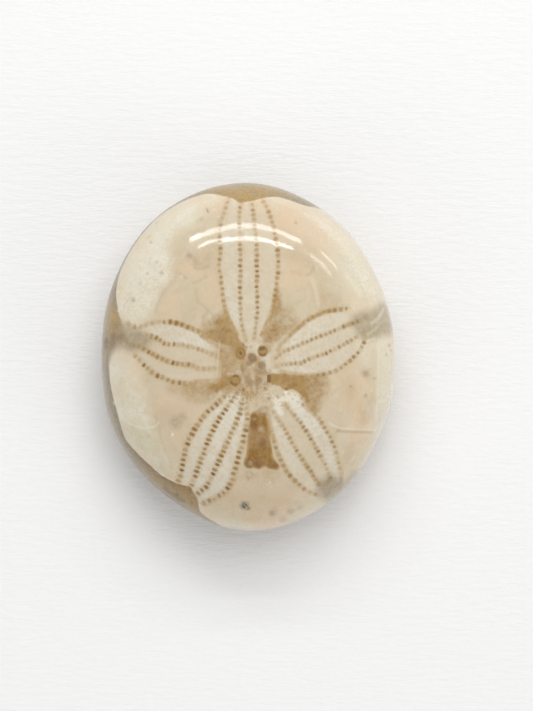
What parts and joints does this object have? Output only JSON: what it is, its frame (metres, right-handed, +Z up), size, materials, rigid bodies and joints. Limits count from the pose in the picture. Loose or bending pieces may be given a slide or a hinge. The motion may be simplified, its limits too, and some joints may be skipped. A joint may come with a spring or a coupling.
{
  "type": "fossil sea urchin",
  "caption": "Polished fossil sea urchin, an oval low dome with a flat base to rest on and a petal star on its crown.",
  "frame": {"origin": "on the resting face, under the middle of the plan's bounding box", "axes": "+Z up from the resting face, +Y towards the front of the urchin and along its length, +X to its right"},
  "size_m": [0.0254, 0.03, 0.0114],
  "materials": {
    "fossil_calcite": "polished"
  },
  "bodies": {
    "root": {"urchin": "fossil_calcite"}
  },
  "joints": []
}
